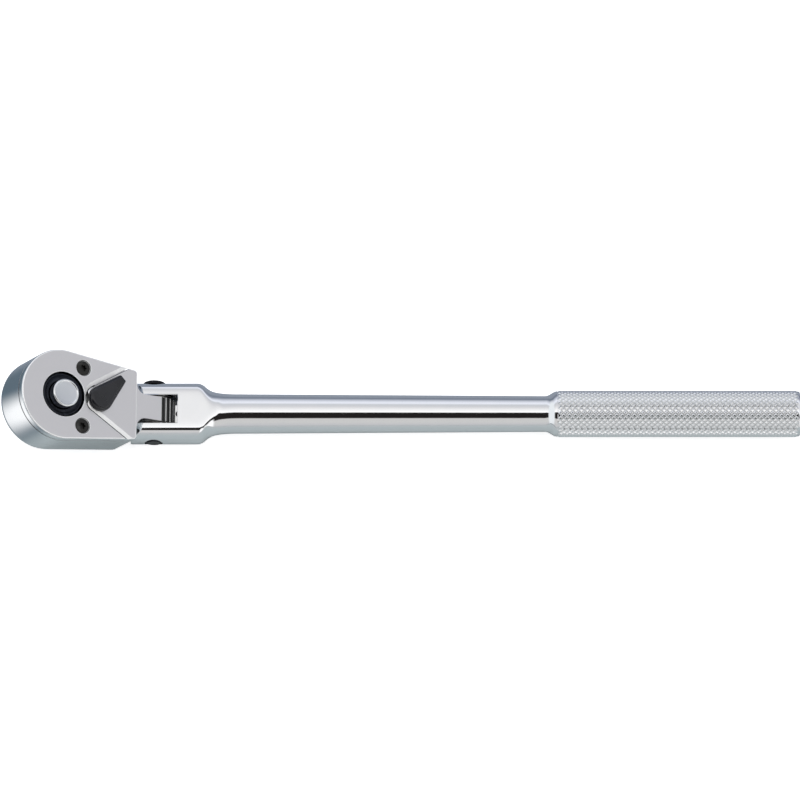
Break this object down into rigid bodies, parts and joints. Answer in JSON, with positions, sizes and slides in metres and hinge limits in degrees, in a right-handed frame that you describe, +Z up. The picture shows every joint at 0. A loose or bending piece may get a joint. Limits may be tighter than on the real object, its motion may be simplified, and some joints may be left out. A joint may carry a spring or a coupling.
{
  "type": "ratchet wrench",
  "caption": "Flex-head pear ratchet wrench with a square drive, reversing lever, quick-release button, notched cover plate and knurled grip.",
  "frame": {"origin": "bottom centre of the whole wrench's box, on the surface it lies on", "axes": "+X along the handle from the head to the butt, +Y along the flex screw towards its head, +Z up from the surface; the head is tipped up 30 degrees"},
  "size_m": [0.2662, 0.0304, 0.04],
  "materials": {
    "satin_chrome": "satin chrome plate on forged and ground steel",
    "bright_chrome": "polished chrome plate, knurled on the grip",
    "black_oxide": "black oxide, oiled",
    "black_lever": "gloss black coating",
    "tool_steel": "ground tool steel",
    "spring_steel": "drawn spring wire",
    "ball_steel": "polished bearing ball",
    "seal_rubber": "moulded nitrile rubber"
  },
  "bodies": {
    "handle": {"handle": "bright_chrome", "flex_screw": "black_oxide", "flex_washer_upper": "tool_steel", "flex_washer_lower": "tool_steel", "flex_detent_spring": "spring_steel"},
    "head": {"head_body": "satin_chrome", "cover_plate": "satin_chrome", "cover_screw_upper": "black_oxide", "cover_screw_lower": "black_oxide", "gear_washer": "tool_steel"},
    "drive": {"drive_gear": "black_oxide", "drive_seal": "seal_rubber", "release_spring": "spring_steel"},
    "release": {"release_button": "bright_chrome", "release_pin": "tool_steel"},
    "drive_ball": {"drive_ball": "ball_steel"},
    "lever": {"reverse_lever": "black_lever", "lever_o_ring": "seal_rubber", "lever_retaining_ring": "spring_steel", "pawl_detent_ball": "ball_steel", "pawl_detent_spring": "spring_steel"},
    "pawl": {"pawl": "tool_steel"},
    "flex_detent": {"flex_detent_ball": "ball_steel"}
  },
  "joints": [
    {"name": "flex_hinge", "type": "hinge", "parent": "handle", "child": "head", "pos_m": [-0.08317, 0, 0.0078], "axis": [0, 1, 0], "range_deg": [-120, 60]},
    {"name": "drive_spin", "type": "hinge", "parent": "head", "child": "drive", "pos_m": [-0.11539, 0, 0.0264], "axis": [0.5, 0, 0.866], "continuous": true},
    {"name": "lever_turn", "type": "hinge", "parent": "head", "child": "lever", "pos_m": [-0.10405, 0, 0.01985], "axis": [0.5, 0, 0.866], "range_deg": [-90, 0]},
    {"name": "pawl_rock", "type": "hinge", "parent": "head", "child": "pawl", "pos_m": [-0.10405, 0, 0.01985], "axis": [0.5, 0, 0.866], "range_deg": [0, 6.1]},
    {"name": "release_press", "type": "slide", "parent": "drive", "child": "release", "axis": [-0.5, 0, -0.866], "range_m": [0, 0.0022], "stiffness_N_per_m": 1500, "springref_m": -0.001, "deforming": ["release_spring"]},
    {"name": "drive_ball_slide", "type": "slide", "parent": "drive", "child": "drive_ball", "axis": [0.866, 0, -0.5], "range_m": [0, 0.0006]},
    {"name": "flex_detent_slide", "type": "slide", "parent": "handle", "child": "flex_detent", "axis": [1, 0, 0], "range_m": [0, 0.0008], "stiffness_N_per_m": 2000, "springref_m": -0.001, "deforming": ["flex_detent_spring"]}
  ],
  "couplings": [
    {"joint": "pawl_rock", "follows": "lever_turn", "ratio": -0.0677},
    {"joint": "drive_ball_slide", "follows": "release_press", "ratio": 0.2727}
  ]
}
